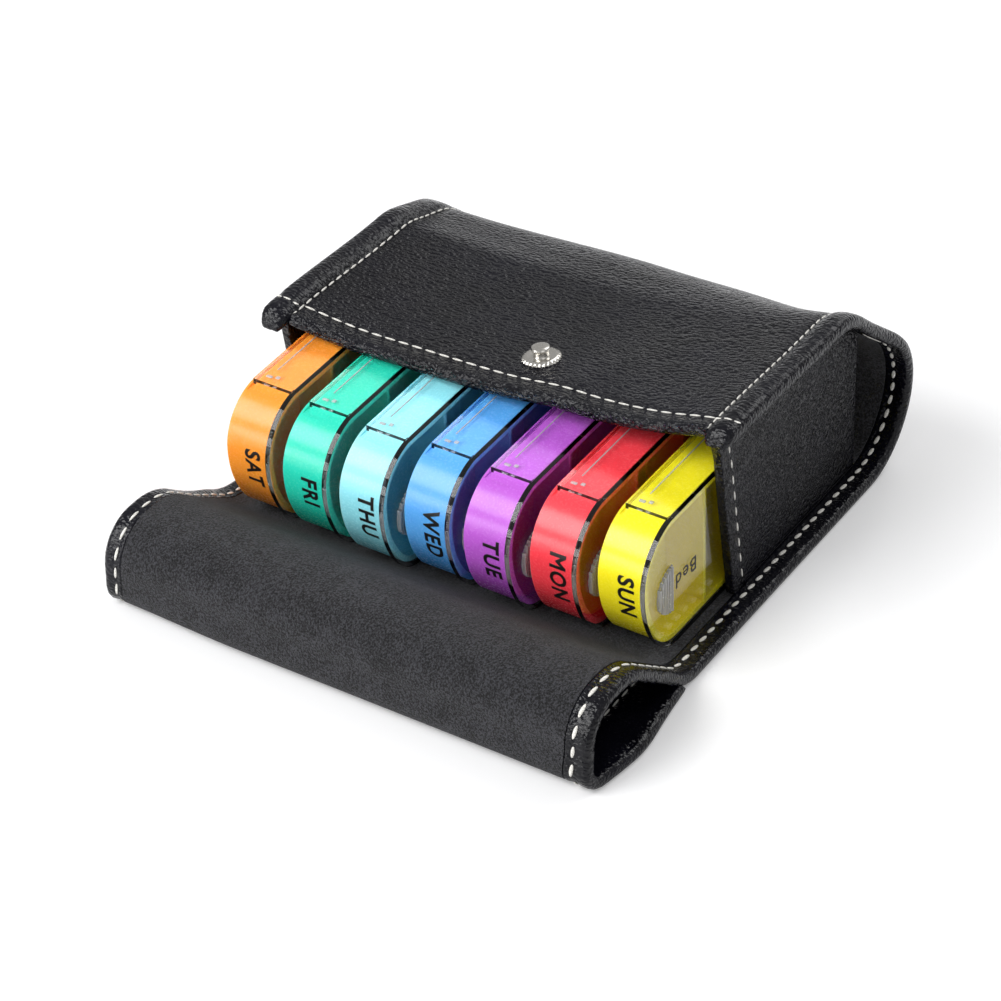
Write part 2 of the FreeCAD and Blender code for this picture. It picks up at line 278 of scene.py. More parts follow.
def plasticMaterial(name, colour):
    # injection-moulded polypropylene: saturated, glossy, a little translucent, with faint flow waviness
    look = mouldLook
    mat, tree, out, place = newMaterial(name)
    flow = addNode(tree, "TexNoise", {"Scale": 1.0 / (look["flow"] * mm), "Detail": 2.0}, {"Vector": place})
    grit = addNode(tree, "TexNoise", {"Scale": 1.0 / (look["grit"] * mm), "Detail": 3.0}, {"Vector": place})
    shade = addNode(tree, "HueSaturation", {"Saturation": 1.0, "Value": 1.0, "Color": hexColour(colour)})
    value = addNode(
        tree, "MapRange", {"From Min": 0.3, "From Max": 0.7, "To Min": look["shade"][0], "To Max": look["shade"][1]},
        {"Value": flow.outputs["Fac"]})
    tree.links.new(value.outputs["Result"], shade.inputs["Value"])
    gloss = addNode(
        tree, "MapRange",
        {"From Min": 0.3, "From Max": 0.7, "To Min": look["roughness"][0], "To Max": look["roughness"][1]},
        {"Value": grit.outputs["Fac"]})
    bump = addNode(
        tree, "Bump", {"Strength": 0.5, "Distance": look["flowDepth"] * mm}, {"Height": flow.outputs["Fac"]})
    body = addNode(
        tree, "BsdfPrincipled",
        {"IOR": 1.49, "Subsurface Weight": 0.3, "Subsurface Radius": (1.0, 1.0, 1.0),
         "Subsurface Scale": look["glowDepth"] * mm},
        {"Base Color": shade.outputs["Color"], "Roughness": gloss.outputs["Result"],
         "Normal": bump.outputs["Normal"]})
    tree.links.new(body.outputs["BSDF"], out.inputs["Surface"])
    return mat


# pattern size in mm, noise detail, roughness from and to, bump strength, bump depth in mm
fineLook = {
    "PolystyreneClear": (16.0, 1.0, 0.02, 0.06, 0.3, 0.15),
    # milky: frosted on the thumb ribs, painted highlight on the guide ridge and detents
    "PolystyreneFrostedHighlight": (0.4, 2.0, 0.12, 0.28, 0.3, 0.04),
    "NickelPlate": (0.4, 4.0, 0.12, 0.3, 0.3, 0.03),
    "PadPrintInk": (0.5, 2.0, 0.3, 0.45, 0.0, 0.0),
}


def fineFinish(name, settings):  # a shader whose gloss and bump follow one fine pattern
    size, detail, low, high, strength, depth = fineLook[name]
    mat, tree, out, place = newMaterial(name)
    grain = addNode(tree, "TexNoise", {"Scale": 1.0 / (size * mm), "Detail": detail}, {"Vector": place})
    gloss = addNode(
        tree, "MapRange", {"From Min": 0.3, "From Max": 0.7, "To Min": low, "To Max": high},
        {"Value": grain.outputs["Fac"]})
    shader = addNode(tree, "BsdfPrincipled", settings, {"Roughness": gloss.outputs["Result"]})
    if depth:
        bump = addNode(tree, "Bump", {"Strength": strength, "Distance": depth * mm}, {"Height": grain.outputs["Fac"]})
        tree.links.new(bump.outputs["Normal"], shader.inputs["Normal"])
    tree.links.new(shader.outputs["BSDF"], out.inputs["Surface"])
    return mat, tree, out, shader


def clearMaterial():
    # clear injection-moulded polystyrene: glassy, with a faint waviness; shadows pass through it
    mat, tree, out, glass = fineFinish(
        "PolystyreneClear", {"Base Color": hexColour("#fbfdfd"), "IOR": 1.49, "Transmission Weight": 1.0})
    through = addNode(tree, "BsdfTransparent", {"Color": (0.95, 0.96, 0.96, 1.0)})
    ray = addNode(tree, "LightPath")
    mix = addNode(
        tree, "MixShader", {},
        {0: ray.outputs["Is Shadow Ray"], 1: glass.outputs["BSDF"], 2: through.outputs["BSDF"]})
    tree.links.new(mix.outputs["Shader"], out.inputs["Surface"])
    return mat


def frostAndHighlightMaterial():
    # the same polystyrene, milky: frosted where the mould is textured on the thumb ribs; on the guide ridge and the
    # detents the milky white is painted highlight
    return fineFinish(
        "PolystyreneFrostedHighlight", {"Base Color": hexColour("#e9e9ea"), "IOR": 1.49, "Transmission Weight": 0.55})[0]


def nickelMaterial():
    # polished nickel plate on brass: warm bright metal with hairline wear
    return fineFinish("NickelPlate", {"Base Color": hexColour("#cfccc6"), "Metallic": 1.0})[0]


def inkMaterial():
    # pad-printed ink: flat black film
    return fineFinish("PadPrintInk", {"Base Color": hexColour("#161412")})[0]


threadLook = {"dark": "#b9b6ae", "light": "#f1efe9", "twist": 0.35, "depth": 0.1}    # mm


def threadMaterial():
    # bonded polyester thread: off-white, twisted
    look = threadLook
    mat, tree, out, place = newMaterial("PolyesterThread")
    twist = addNode(tree, "TexNoise", {"Scale": 1.0 / (look["twist"] * mm), "Detail": 3.0}, {"Vector": place})
    tone = addNode(
        tree, "ValToRGB", {"stops": ((0.3, look["dark"]), (0.65, look["light"]))}, {"Fac": twist.outputs["Fac"]})
    bump = addNode(tree, "Bump", {"Strength": 1.0, "Distance": look["depth"] * mm}, {"Height": twist.outputs["Fac"]})
    yarn = addNode(
        tree, "BsdfPrincipled", {"Roughness": 0.6, "Sheen Weight": 0.2},
        {"Base Color": tone.outputs["Color"], "Normal": bump.outputs["Normal"]})
    tree.links.new(yarn.outputs["BSDF"], out.inputs["Surface"])
    return mat


leatherMat = leatherMaterial("PuLeatherPebbled")
edgeMat = leatherMaterial("PuLeatherStretched")    # pulled smooth over the bound edges
suedeMat, clearMat, frostAndHighlightMat = suedeMaterial(), clearMaterial(), frostAndHighlightMaterial()
nickelMat, threadMat, inkMat = nickelMaterial(), threadMaterial(), inkMaterial()
plasticMats = {day: plasticMaterial(*plasticLook[day]) for day in days}
print("materials made")

# the case's sizes, millimetres

case = {
    "leather": 1.8, "lining": 1.4,
    "rowPitch": 18.0, "stripHalf": 69.5, "binding": 8.0,
    "top": (48.0, 48.5, 58.0),      # outer height at left edge, middle, right edge
    "mouth": -9.4, "hem": 6.5,
    "loopY": 59.0, "loopZ": 24.0, "loopRadius": 22.5, "loopTurn": 50.0, "shoulder": 22.0,
    "bottomFront": -22.4, "rampCorner": -33.9, "rampRise": 38.0, "rampRound": 12.0,
    "humpRound": 20.0, "rollHigh": 23.74, "rollFront": -81.5, "rollLow": 6.0, "tailTip": -41.0,
    "step": 1.6,                    # mm between stations along the strip
    "turnIn": 65.0,                 # the binding's turned edge reaches in to here on the lining
    "seamIn": 66.3,                 # stitch line on the lining side
}
thick = case["leather"] + case["lining"]
mid = thick / 2.0
panelHalf = case["stripHalf"] - case["binding"]


def topHeight(x):
    left, middle, right = case["top"]
    u = x / case["stripHalf"]
    return middle + (right - left) / 2.0 * u + ((right + left) / 2.0 - middle) * u * u


def segmentsAt(x):  # the strip's middle line at x: straight runs and arcs, from the mouth to the tail
    c = case
    turn, rise = math.radians(c["loopTurn"]), math.radians(c["rampRise"])
    top, r = topHeight(x), c["loopRadius"]
    startY, startZ = c["loopY"] + (r - mid) * math.cos(turn), c["loopZ"] + (r - mid) * math.sin(turn)
    lift = top - c["shoulder"] * (1.0 - math.sin(turn)) - (c["loopZ"] + r * math.sin(turn))
    endY, endZ = startY - lift * math.tan(turn), startZ + lift
    q = c["shoulder"] - mid
    midY, midZ = endY - q * math.cos(turn), endZ - q * math.sin(turn)
    rampStart = c["rampCorner"] + c["rampRound"] * math.tan(rise / 2.0)
    footR, footZ = c["rampRound"] + mid, thick + c["rampRound"]
    humpZ = c["rollHigh"] - c["humpRound"]
    climb = (humpZ + c["humpRound"] * math.cos(rise) - thick) / math.tan(rise)
    humpY = c["rampCorner"] - climb - c["humpRound"] * math.sin(rise)
    h, rollR, low = c["humpRound"] - mid, c["rollHigh"] / 2.0, c["rollLow"]
    rollY, front, small = c["rollFront"] + rollR, c["rollFront"] + mid, low - mid
    foot = (rampStart - footR * math.sin(rise), footZ - footR * math.cos(rise))
    head = (humpY + h * math.sin(rise), humpZ + h * math.cos(rise))
    return [
        ("line", (c["mouth"], midZ + q), (midY, midZ + q)),
        ("arc", (midY, midZ), q, q, 90.0, c["loopTurn"]),
        ("line", (endY, endZ), (startY, startZ)),
        ("arc", (c["loopY"], c["loopZ"]), r - mid, r - mid, c["loopTurn"], 0.0),
        ("arc", (c["loopY"], c["loopZ"]), r - mid, c["loopZ"] - mid, 0.0, -90.0),
        ("line", (c["loopY"], mid), (rampStart, mid)),
        ("arc", (rampStart, footZ), footR, footR, -90.0, -90.0 - c["rampRise"]),
        ("line", foot, head),
        ("arc", (humpY, humpZ), h, h, 90.0 - c["rampRise"], 90.0),
        ("line", (humpY, humpZ + h), (rollY, humpZ + h)),
        ("arc", (rollY, rollR), rollR - mid, rollR - mid, 90.0, 180.0),
        ("line", (front, rollR), (front, low)),
        ("arc", (c["rollFront"] + low, low), small, small, 180.0, 270.0),
        ("line", (c["rollFront"] + low, mid), (c["tailTip"], mid)),
    ]


def runOf(seg):
    if seg[0] == "line":
        return math.hypot(seg[2][0] - seg[1][0], seg[2][1] - seg[1][1])
    return math.radians(abs(seg[5] - seg[4])) * (seg[2] + seg[3]) / 2.0


marks = [0.0]    # the runs at which the pieces of segmentsAt meet, the first at the mouth
for seg in segmentsAt(0.0):
    marks.append(marks[-1] + runOf(seg))
sectionCache = {}


def pathPoint(x, s):  # middle-line point and the direction towards the lining, at run s from the mouth
    key = round(x, 3)
    if key not in sectionCache:
        sectionCache[key] = segmentsAt(x)
    i = 0
    while i < len(marks) - 2 and s > marks[i + 1]:
        i += 1
    seg = sectionCache[key][i]
    share = (s - marks[i]) / (marks[i + 1] - marks[i])
    if seg[0] == "line":
        (y0, z0), (y1, z1) = seg[1], seg[2]
        long = math.hypot(y1 - y0, z1 - z0)
        return y0 + (y1 - y0) * share, z0 + (z1 - z0) * share, (z1 - z0) / long, -(y1 - y0) / long
    a = math.radians(seg[4] + (seg[5] - seg[4]) * share)
    (cy, cz), ry, rz = seg[1], seg[2], seg[3]
    ny, nz = math.cos(a) / ry, math.sin(a) / rz
    long = math.hypot(ny, nz)
    side = -1.0 if seg[5] < seg[4] else 1.0
    return cy + ry * math.cos(a), cz + rz * math.sin(a), side * ny / long, side * nz / long


def runAtY(y, first, last):  # run s at which a stretch passes the given y
    lo, hi = marks[first], marks[last]
    rising = pathPoint(0.0, hi)[0] > pathPoint(0.0, lo)[0]
    for halving in range(40):
        s = (lo + hi) / 2.0
        if (pathPoint(0.0, s)[0] < y) == rising:
            lo = s
        else:
            hi = s
    return (lo + hi) / 2.0


bottomEnd = runAtY(case["bottomFront"], 5, 6)
rampEnd, tailEnd = marks[8], marks[14]
backStart, hemRun, tailHem = marks[3], case["hem"], tailEnd - case["hem"]

sag = {
    "upper": (32.0, 43.0),         # z over which the moves of the top fade in
    "frontWaves": [                # height in mm, place and width as shares of the half strip
        (0.5, -0.95, 0.15), (-0.5, -0.62, 0.16), (0.9, 0.24, 0.14), (1.5, 0.88, 0.16)],
    "frontFade": (-5.0, 40.0),     # y over which the front edge's waves die out
    "rearTop": 1.7,                # mm that the top falls towards the rear on the left
    "rearFade": (-5.0, 42.0),
    "slackFrom": 5.0,              # x from which the top is pulled tight towards the right
    "back": 5.0,                   # mm that the upper back lies nearer the boxes at the left edge
    "backMiddle": (2.6, -60.0, 5.0),     # mm there in the middle, and the x between which it changes
    "backBulge": (0.6, 25.0, 50.0),      # mm more, and its x
    "backRight": (1.6, 50.0, 68.0),      # mm less, and its x
    "backY": (43.0, 64.0),
    "backZ": (14.0, 40.0),
    "inY": 0.673, "inZ": 0.74,     # the direction in which the back gives
    "proud": 2.6,                  # mm that the right edge spreads at table height
    "proudLeft": 1.2,
    "proudZ": (34.0, 50.0),
    "edgeBlend": 3.0,              # mm from the turned edge to full spread
    "flare": (3.4, -62.0, 15.0),   # mm that the roll's right edge spreads on the table, its y and width
    "flareZ": (1.0, 11.0),
    "tailRight": 3.5,              # mm that the tail reaches further back at the right
    "tailX": (58.0, 70.0),
    "tailY": (-56.0, -41.0),
    "tailPast": 0.5,
    "tailZ": 3.7,
    "frontFoot": 1.4,              # mm that the roll's lower front corner spreads
    "footLeft": 0.2,               # share of it at the left edge
    "footX": (-69.0, -30.0),
    "footY": (66.0, 76.0),
    "footZ": (4.0, 12.0),
    "rampFoot": (2.2, -36.0, 8.0),       # mm that the left edge stands off the table, its y and width
    "rampFootX": (61.0, 69.0),
    "knob": 0.2,                   # how fast the ends of the bound edges curl down in front of the mouth
    "knobZ": 30.0,
}


def settle(x, y, z):  # how the sewn strip really sits: sag over the boxes, proud edges
    g = sag
    u = x / case["stripHalf"]
    upper = ease(*g["upper"], z)
    slack = 1.0 - ease(g["slackFrom"], case["stripHalf"], x)
    front = sum(high * bell(u - at, wide) for high, at, wide in g["frontWaves"])
    lift = front * (1.0 - ease(*g["frontFade"], y)) - g["rearTop"] * slack * ease(*g["rearFade"], y)
    (middle, *middleX), (bulge, *bulgeX), (right, *rightX) = g["backMiddle"], g["backBulge"], g["backRight"]
    back = g["back"] + (middle - g["back"]) * ease(*middleX, x) + bulge * ease(*bulgeX, x)
    back -= right * ease(*rightX, x)
    inward = back * ease(*g["backY"], y) * ease(*g["backZ"], z)
    edge = min(1.0, max(0.0, abs(x) - case["turnIn"]) / g["edgeBlend"])
    grow = (g["proud"] if x > 0 else g["proudLeft"]) * (1.0 - ease(*g["proudZ"], z))
    if x > 0:
        flare, at, wide = g["flare"]
        grow += flare * bell(y - at, wide) * (1.0 - ease(*g["flareZ"], z))
    ahead = max(0.0, case["mouth"] - y) if z > g["knobZ"] else 0.0
    if z < g["tailZ"] and y < case["tailTip"] + g["tailPast"]:
        y += g["tailRight"] * ease(*g["tailX"], x) * ease(*g["tailY"], y)
    spread = g["footLeft"] + (1.0 - g["footLeft"]) * ease(*g["footX"], x)
    y -= g["frontFoot"] * spread * ease(*g["footY"], -y) * (1.0 - ease(*g["footZ"], z))
    foot, at, wide = g["rampFoot"]
    z += foot * bell(y - at, wide) * ease(*g["rampFootX"], -x)
    x += math.copysign(grow * edge, x)
    y -= g["inY"] * inward
    z += upper * lift - g["inZ"] * inward - g["knob"] * ahead * ahead
    return x, y, z


def wrapPoint(x, s, t):  # flat pattern to the finished strip: t is the depth from the leather face
    y, z, ny, nz = pathPoint(x, s)
    x, y, z = settle(x, y + ny * (t - mid), z + nz * (t - mid))
    return (x * mm, y * mm, z * mm)


def wrapRound(obj):
    for v in obj.data.vertices:
        v.co = wrapPoint(v.co.x / mm, v.co.y / mm, v.co.z / mm)
    obj.data.update()


def closedSkin(name, rings):  # a grid bent into rings of points, closed along its seam and at both ends
    deselectAll()
    around = len(rings[0])
    bpy.ops.mesh.primitive_grid_add(x_subdivisions=around, y_subdivisions=len(rings) - 1, size=1.0)
    obj = bpy.context.object
    obj.name = name
    for i, v in enumerate(obj.data.vertices):
        row, col = divmod(i, around + 1)
        v.co = rings[row][col % around]
    bpy.ops.object.mode_set(mode="EDIT")
    bpy.ops.mesh.select_all(action="SELECT")
    bpy.ops.mesh.remove_doubles(threshold=closeSeam)
    bpy.ops.mesh.select_all(action="DESELECT")
    bpy.ops.mesh.select_non_manifold(extend=False)
    bpy.ops.mesh.fill_holes(sides=0)
    bpy.ops.object.mode_set(mode="OBJECT")
    return obj


bandEnd = {
    "round": 1.5, "knob": 4.5, "knobStart": -3.0,    # mm, the knob stands ahead of the mouth
    "steps": [0.03, 0.13, 0.33, 0.63],    # stations along a rounded end, as shares of its length
    "least": 0.02,
    "knobFrom": 2.0,                      # mm, a longer nose also narrows sideways
    "knobWidth": 0.45,
}


def stationRuns(s0, s1, startNose, endNose):
    count = max(2, int(round((s1 - s0) / case["step"])))
    runs = [s0 + (s1 - s0) * i / count for i in range(count + 1)]
    if startNose:
        runs = [s0] + [s0 + n * startNose for n in bandEnd["steps"]] + [r for r in runs if r > s0 + startNose]
    if endNose:
        runs = [r for r in runs if r < s1 - endNose] + [s1 - n * endNose for n in reversed(bandEnd["steps"])] + [s1]
    return runs


def noseShare(away, long):  # share of the full thickness on a rounded end
    return math.sqrt(max(bandEnd["least"], 1.0 - (1.0 - away / long) ** 2))


def makeBand(name, profile, s0, s1, relief, mat, startNose=0.0, endNose=0.0):
    # a closed strip: its flat section profile (x, depth) is run along s, then wrapped
    xs, depths = [p[0] for p in profile], [p[1] for p in profile]
    centre, middle = (min(xs) + max(xs)) / 2.0, (min(depths) + max(depths)) / 2.0
    rings = []
    for s in stationRuns(s0, s1, startNose, endNose):
        fat = 1.0
        if startNose and s < s0 + startNose:
            fat = noseShare(s - s0, startNose)
        if endNose and s > s1 - endNose:
            fat = noseShare(s1 - s, endNose)
        ring = []
        for x, t in profile:
            if startNose > bandEnd["knobFrom"]:
                x = centre + (x - centre) * (bandEnd["knobWidth"] + (1.0 - bandEnd["knobWidth"]) * fat)
            t += relief(x, s, t)
            ring.append((x * mm, s * mm, (middle + (t - middle) * fat) * mm))
        rings.append(ring)
    obj = closedSkin(name, rings)
    wrapRound(obj)
    turnOutwards(obj)
    smooth(obj, 50)
    coat(obj, mat)
    return obj


sheet = {"spacing": 3.0, "sides": (0.4, 0.9, 1.5)}    # mm between points, and of more points at the seams


def sheetProfile(x0, x1, t0, t1, spacing=sheet["spacing"], sides=sheet["sides"]):
    count = max(1, int(round((x1 - x0) / spacing)))
    xs = [x0 + (x1 - x0) * i / count for i in range(count + 1)]
    for d in sides:
        xs += [x0 + d, x1 - d]
    xs = sorted(xs)
    return [(x, t0) for x in xs] + [(x, t1) for x in reversed(xs)]


seam = {"dip": 0.32, "wide": 1.1, "innerWide": 0.7}    # the thread pulls the leather in along each stitch line
lip = {"high": 0.55, "at": 1.7, "wide": 1.3}           # the turned hem is thicker at its very edge
roll = {                                               # the bound edges are padded on the top and slope
    "puff": 1.5, "wide": 8.0, "from": 0.6,
    "flatBelow": 0.8,                                  # share that is lost round the back
    "fade": 4.0,
}


def seamDip(x, s):
    d = bell(abs(x) - panelHalf, seam["wide"])
    if s < bottomEnd:
        d = max(d, bell(s - hemRun, seam["wide"]))
    d = max(d, bell(s - tailHem, seam["wide"]))
    return d * seam["dip"]


def puffAt(x, s):  # height of the padded bound edge over the strip
    across = (abs(x) - panelHalf - roll["from"]) / (roll["wide"] - roll["from"])
    if across <= 0.0 or across >= 1.0:
        return 0.0
    fade = 1.0 - roll["flatBelow"] * ease(marks[1] - roll["fade"], backStart + roll["fade"], s)
    return roll["puff"] * fade * math.sqrt(1.0 - (2.0 * across - 1.0) ** 2)


def outerRelief(x, s, t):
    if t > mid:
        return 0.0
    return seamDip(x, s) - lip["high"] * bell(s - lip["at"], lip["wide"])


def innerRelief(x, s, t):
    return -bell(s - tailHem, seam["wide"]) * seam["dip"] if t > mid else 0.0


def bothRelief(x, s, t):
    return outerRelief(x, s, t) if t < mid else -seamDip(x, s)


def edgeRelief(x, s, t):
    if t < mid:
        return seamDip(x, s) - puffAt(x, s)
    return -seam["dip"] * bell(abs(x) - case["seamIn"], seam["innerWide"])


boundEdge = {
    "round": 1.2, "start": 0.02, "lift": 0.1, "faceSteps": 9, "roundSteps": 8, "underSteps": 6,
    "turn": (0.25, 0.05, 0.3),    # mm: the turned edge's rounding across, its rise and its fall
}


def bindingProfile(side):
    # leather face from the panel out, round edge, back over the lining side to its turned-in edge
    b = boundEdge
    outer, inner, half = panelHalf + b["start"], case["turnIn"], case["stripHalf"] - b["round"]
    pts = [(outer + (half - outer) * i / b["faceSteps"], 0.0) for i in range(b["faceSteps"] + 1)]
    for i in range(1, b["roundSteps"]):
        a = math.pi * i / b["roundSteps"]
        pts.append((half + b["round"] * math.sin(a), mid - mid * math.cos(a)))
    pts += [(half + (inner - half) * i / b["underSteps"], thick + b["lift"]) for i in range(b["underSteps"])]
    across, rise, fall = b["turn"]
    pts += [(inner + across, thick + rise), (inner, thick - fall), (inner, case["leather"]), (outer, case["leather"])]
    return [(side * x, t) for x, t in pts]


print("strip from the mouth to the tail:", round(marks[-1], 1), "mm")

panelProfile = sheetProfile(-panelHalf, panelHalf, 0.0, case["leather"])
liningProfile = sheetProfile(-case["turnIn"], case["turnIn"], case["leather"], thick)
hemProfile = sheetProfile(-panelHalf, panelHalf, 0.0, thick)


def finish(obj, body, slot, *nodes):
    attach(obj, body)
    if nodes:
        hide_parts(*nodes)


panelBand = makeBand("wrapLeather", panelProfile, hemRun, bottomEnd, outerRelief, leatherMat)
finish(panelBand, "case", "black_leather", "wrap_leather")
liningBand = makeBand("wrapLining", liningProfile, hemRun, bottomEnd, innerRelief, suedeMat)
finish(liningBand, "case", "black_suede", "wrap_lining")
hemBand = makeBand("mouthHem", hemProfile, 0.0, hemRun, bothRelief, leatherMat, startNose=bandEnd["round"])
finish(hemBand, "case", "black_leather", "mouth_hem")
for side, word in ((-1, "left"), (1, "right")):
    band = makeBand(
        "sideBinding" + word.title(), bindingProfile(side), bandEnd["knobStart"], bottomEnd, edgeRelief, edgeMat,
        startNose=bandEnd["knob"])
    finish(band, "case", "black_leather", "side_binding_" + word)
print("wrap made")

# flap, cut into one strip per box

flap = {"flatShare": 0.12, "spacing": 2.4}


def flatten(obj):
    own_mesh(obj)


def flapSheet(x0, x1, t0, t1):
    return sheetProfile(x0, x1, t0, t1, flap["spacing"], ())


for i, day in enumerate(days):
    word = day.title()
    leftX, rightX = (i - 3.5) * case["rowPitch"], (i - 2.5) * case["rowPitch"]
    skinX = (-panelHalf if i == 0 else leftX, panelHalf if i == 6 else rightX)
    napX = (-case["turnIn"] if i == 0 else leftX, case["turnIn"] if i == 6 else rightX)
    for part, s0, s1, body, root in (
            ("Ramp", bottomEnd, rampEnd, "case", "flap_root_"), ("Roll", rampEnd, tailHem, "flap", "flap_")):
        for layer, profile, relief, mat, slot in (
                ("Leather", flapSheet(*skinX, 0.0, case["leather"]), outerRelief, leatherMat, "black_leather"),
                ("Lining", flapSheet(*napX, case["leather"], thick), innerRelief, suedeMat, "black_suede")):
            strip = makeBand("flap" + part + layer + word, profile, s0, s1, relief, mat)
            finish(strip, body, slot, root + layer.lower())
            flatten(strip)
    hem = makeBand(
        "flapEndHem" + word, flapSheet(*skinX, 0.0, thick), tailHem, tailEnd, bothRelief, leatherMat,
        endNose=bandEnd["round"])
    finish(hem, "flap", "black_leather", "flap_end_hem")
    flatten(hem)
for side, word, day in ((-1, "Left", "sat"), (1, "Right", "sun")):
    for part, s0, s1, body, root, nose in (
            ("Ramp", bottomEnd, rampEnd, "case", "flap_root_binding_", 0.0),
            ("Roll", rampEnd, tailEnd, "flap", "flap_binding_", bandEnd["round"])):
        edge = makeBand(
            "flap" + part + "Binding" + word, bindingProfile(side), s0, s1, edgeRelief, edgeMat, endNose=nose)
        finish(edge, body, "black_leather", root + word.lower())
        flatten(edge)
print("flap made")

# gussets: soft side walls with a folded and stitched front edge

gusset = {
    "inner": 63.3, "thick": 2.0, "rear": 61.5,
    "hem": 6.0, "hemExtra": 0.45, "hemInside": 0.4,    # folded hem: width, extra thickness, share of it inside
    "seamDip": 0.3, "seamBack": 1.3, "seamWide": 0.8,
    "front": -1.24, "lean": 0.152,                     # y of the front edge at the table, and its slope
    "topLean": 1.2, "topFrom": 47.0, "topTo": 56.0,
    "across": 40, "high": 30, "crowd": 1.35,           # columns stand closer near the front edge
    "foot": 0.05, "head": 0.15,                        # mm clear of the lining below and above
    "belly": 0.5, "ripple": 0.3, "bellyFrom": (0.1, 0.5),    # mm, and shares of the depth it grows over
    "waves": (9.0, 2.0),                               # the ripple's turns along and up, radians
    "hemStep": (-0.4, 0.5),                            # mm about the hem's end over which it thins
    "edge": 0.8, "bevelSteps": 3,
}


def gussetFront(z):  # the folded front edge leans forward as it rises
    g = gusset
    return g["front"] - g["lean"] * z - g["topLean"] * ease(g["topFrom"], g["topTo"], z)


def liningAbove(x, y):  # height of the lining's inside over a point on the gusset
    last, steps = None, 119
    for k in range(steps + 1):
        py, pz, ny, nz = pathPoint(x, marks[4] * k / steps)
        here = settle(x, py + ny * mid, pz + nz * mid)
        if here[1] >= y:
            if last is None:
                return here[2]
            share = (y - last[1]) / max(1e-6, here[1] - last[1])
            return last[2] + (here[2] - last[2]) * share
        last = here
    return last[2]


def makeGusset(side, word):
    g = gusset
    deselectAll()
    bpy.ops.mesh.primitive_grid_add(x_subdivisions=g["across"], y_subdivisions=g["high"], size=1.0)
    obj = bpy.context.object
    obj.name = "gusset" + word.title()
    x = g["inner"] + g["thick"] / 2.0
    low, heights = thick + g["foot"], {}
    for i, v in enumerate(obj.data.vertices):
        row, col = divmod(i, g["across"] + 1)
        w = row / g["high"]
        u = (col / g["across"]) ** g["crowd"]
        z = thick + w * (topHeight(side * x) - 2.0 * thick)
        y = gussetFront(z) + (g["rear"] - gussetFront(z)) * u
        key = round(y, 1)
        if key not in heights:
            heights[key] = liningAbove(side * x, key) - g["head"]
        z = low + (heights[key] - thick - g["foot"]) * w
        belly = math.sin(math.pi * w)
        along, up = g["waves"]
        puff = g["belly"] * belly * ease(*g["bellyFrom"], u) + g["ripple"] * math.sin(along * u + up * w) * belly
        v.co = (side * (x - 0.5 * puff) * mm, y * mm, z * mm)
    solid = obj.modifiers.new("wall", "SOLIDIFY")
    solid.thickness, solid.offset = g["thick"] * mm, 0.0
    edge = obj.modifiers.new("edge", "BEVEL")
    edge.width, edge.segments, edge.limit_method = g["edge"] * mm, g["bevelSteps"], "ANGLE"
    applyModifiers(obj)
    turnOutwards(obj, closeEdge)
    for v in obj.data.vertices:  # thicker folded hem, pulled in along its stitches
        back = v.co.y / mm - gussetFront(v.co.z / mm)
        away = 1.0 if side * v.co.x / mm > x else -g["hemInside"]
        step = g["hemExtra"] * (1.0 - ease(*g["hemStep"], back - g["hem"]))
        step -= g["seamDip"] * bell(back - g["hem"] + g["seamBack"], g["seamWide"])
        v.co.x += side * away * step * mm
    smooth(obj, 50)
    coat(obj, leatherMat)
    finish(obj, "case", "black_leather", "gusset_" + word)


makeGusset(-1, "left")
makeGusset(1, "right")
print("gussets made")

# stitches

stitch = {
    "long": 3.0, "wide": 0.6, "high": 0.5, "skew": 0.06,
    "topPitch": 3.3, "hemPitch": 4.0, "innerPitch": 4.0, "gussetPitch": 5.0, "rollExtra": 0.6,
    "sunk": 0.14, "sunkInside": 0.24,    # mm off the bottom of the seam's dip
    "topShare": 0.9, "innerShare": 0.95, "rollShare": 1.15,    # shares of the full length
    "hemShare": 1.1, "crossShare": 0.8, "gussetShare": 1.05,
    "firstRun": 0.6, "lastRun": 1.2,     # mm the rows keep from the mouth and the tail
    "crossAt": (1.5, 2.4, 3),            # first place, pitch and count over the padded edges
    "crossBack": 1.6, "crossSunk": 0.08,
    "gussetOff": 0.12, "gussetLow": 5.0, "gussetHigh": 2.0, "gussetTop": 50.0,
    "gussetLean": 8.6,                   # degrees, of the gusset's front edge
}


def baseStitch():
    deselectAll()
    bpy.ops.mesh.primitive_uv_sphere_add(segments=8, ring_count=5, radius=0.5, rotation=(math.pi / 2.0, 0.0, 0.0))
    obj = bpy.context.object
    applyPlace(obj)
    for v in obj.data.vertices:  # long along y, blunt ends, flattened
        v.co = (v.co.x * stitch["wide"] * mm, v.co.y * stitch["long"] * mm, v.co.z * stitch["high"] * mm)
    mesh = obj.data
    bpy.data.objects.remove(obj)
    return mesh


stitchMesh = baseStitch()


def stitchRow(name, body, places, wrap=True):  # places: (point, turn, share of the length), in millimetres
    bm = bmesh.new()
    for point, turn, share in places:
        first = len(bm.verts)
        bm.from_mesh(stitchMesh)
        bm.verts.ensure_lookup_table()
        for v in bm.verts[first:]:
            v.co.y *= share
            v.co = turn @ v.co + Vector(point) * mm
    mesh = bpy.data.meshes.new(name)
    bm.to_mesh(mesh)
    bm.free()
    obj = addObject(name, mesh)
    if wrap:
        wrapRound(obj)
    pick(obj)
    bpy.ops.object.shade_smooth()
    coat(obj, threadMat)
    finish(obj, body, "black_leather")
    return obj


def runPlaces(x, s0, s1, t, pitch, share):  # along the strip
    count = int((s1 - s0) / pitch)
    gap = (s1 - s0) / count
    turn = Matrix.Rotation(stitch["skew"], 4, "Z")
    return [((x, s0 + gap * (k + 0.5), t), turn, share) for k in range(count)]


